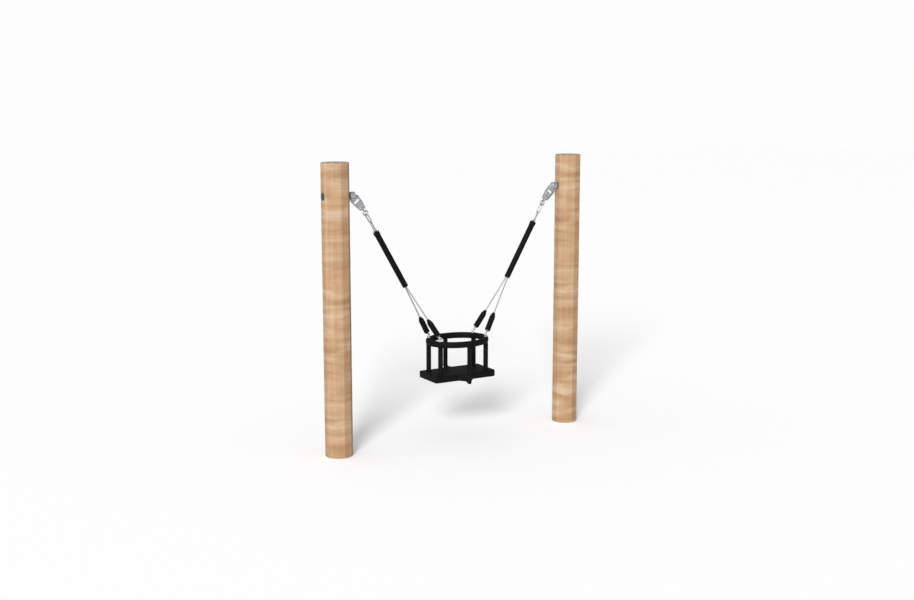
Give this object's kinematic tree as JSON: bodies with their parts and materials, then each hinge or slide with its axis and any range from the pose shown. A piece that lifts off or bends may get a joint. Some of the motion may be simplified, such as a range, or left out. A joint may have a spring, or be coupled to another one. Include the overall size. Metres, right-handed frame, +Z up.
{
  "type": "toddler cradle swing",
  "caption": "Black rubber cage seat for a toddler, hung by wire rope slings and sleeved chains in a V between separate ten-sided timber posts with bearing hangers.",
  "frame": {"origin": "on the ground, midway between the posts", "axes": "+X along the line of the posts, +Y behind the sitting child, who faces -Y, +Z up"},
  "size_m": [1.9242, 0.356, 1.87],
  "materials": {
    "timber": "sawn and planed, untreated",
    "rubber": "matt moulded",
    "black_plastic": "satin",
    "galvanised_steel": "hot-dip galvanised",
    "stainless_steel": "satin",
    "wire_rope": "stranded",
    "bronze": "turned"
  },
  "bodies": {
    "posts": {"left_post": "timber", "left_axle_bolt": "galvanised_steel", "left_bolt_nut": "galvanised_steel", "left_bolt_cap": "black_plastic", "left_spacer_flange": "galvanised_steel", "right_post": "timber", "right_axle_bolt": "galvanised_steel", "right_bolt_nut": "galvanised_steel", "right_bolt_cap": "black_plastic", "right_spacer_flange": "galvanised_steel"},
    "left_hanger": {"left_bearing_housing": "galvanised_steel", "left_bearing_bush": "bronze", "left_yoke": "galvanised_steel", "left_yoke_pin": "galvanised_steel", "left_swivel_block": "galvanised_steel", "left_swivel_eye": "galvanised_steel", "left_top_link": "galvanised_steel"},
    "left_drop": {"left_chain_link_1": "galvanised_steel", "left_chain_link_2": "galvanised_steel", "left_sleeved_chain": "galvanised_steel", "left_chain_sleeve": "rubber"},
    "right_hanger": {"right_bearing_housing": "galvanised_steel", "right_bearing_bush": "bronze", "right_yoke": "galvanised_steel", "right_yoke_pin": "galvanised_steel", "right_swivel_block": "galvanised_steel", "right_swivel_eye": "galvanised_steel", "right_top_link": "galvanised_steel"},
    "right_drop": {"right_chain_link_1": "galvanised_steel", "right_chain_link_2": "galvanised_steel", "right_sleeved_chain": "galvanised_steel", "right_chain_sleeve": "rubber"},
    "seat": {"seat_plate": "rubber", "seat_insert": "galvanised_steel", "seat_ring": "rubber", "crotch_bar": "rubber", "back_bar": "rubber", "left_rope_sling": "wire_rope", "right_rope_sling": "wire_rope", "front_left_bar": "rubber", "front_left_eye_bolt": "stainless_steel", "front_left_eye_bolt_nut": "stainless_steel", "front_left_corner_link": "stainless_steel", "front_left_rope_boot": "rubber", "front_right_bar": "rubber", "front_right_eye_bolt": "stainless_steel", "front_right_eye_bolt_nut": "stainless_steel", "front_right_corner_link": "stainless_steel", "front_right_rope_boot": "rubber", "back_left_bar": "rubber", "back_left_eye_bolt": "stainless_steel", "back_left_eye_bolt_nut": "stainless_steel", "back_left_corner_link": "stainless_steel", "back_left_rope_boot": "rubber", "back_right_bar": "rubber", "back_right_eye_bolt": "stainless_steel", "back_right_eye_bolt_nut": "stainless_steel", "back_right_corner_link": "stainless_steel", "back_right_rope_boot": "rubber"}
  },
  "joints": [
    {"name": "left_bearing_swing", "type": "hinge", "parent": "posts", "child": "left_hanger", "pos_m": [-0.7599, 0, 1.66], "axis": [1, 0, 0], "range_deg": [-60, 60]},
    {"name": "left_chain_swing", "type": "hinge", "parent": "left_hanger", "child": "left_drop", "pos_m": [-0.659, 0, 1.532], "axis": [1, 0, 0], "range_deg": [-20, 20]},
    {"name": "right_bearing_swing", "type": "hinge", "parent": "posts", "child": "right_hanger", "pos_m": [0.7599, 0, 1.66], "axis": [1, 0, 0], "range_deg": [-60, 60]},
    {"name": "right_chain_swing", "type": "hinge", "parent": "right_hanger", "child": "right_drop", "pos_m": [0.659, 0, 1.532], "axis": [1, 0, 0], "range_deg": [-20, 20]},
    {"name": "seat_pitch", "type": "hinge", "parent": "left_drop", "child": "seat", "pos_m": [-0.384, 0, 1.052], "axis": [1, 0, 0], "range_deg": [-25, 25]}
  ],
  "couplings": [
    {"joint": "right_bearing_swing", "follows": "left_bearing_swing", "ratio": 1},
    {"joint": "right_chain_swing", "follows": "left_chain_swing", "ratio": 1}
  ]
}
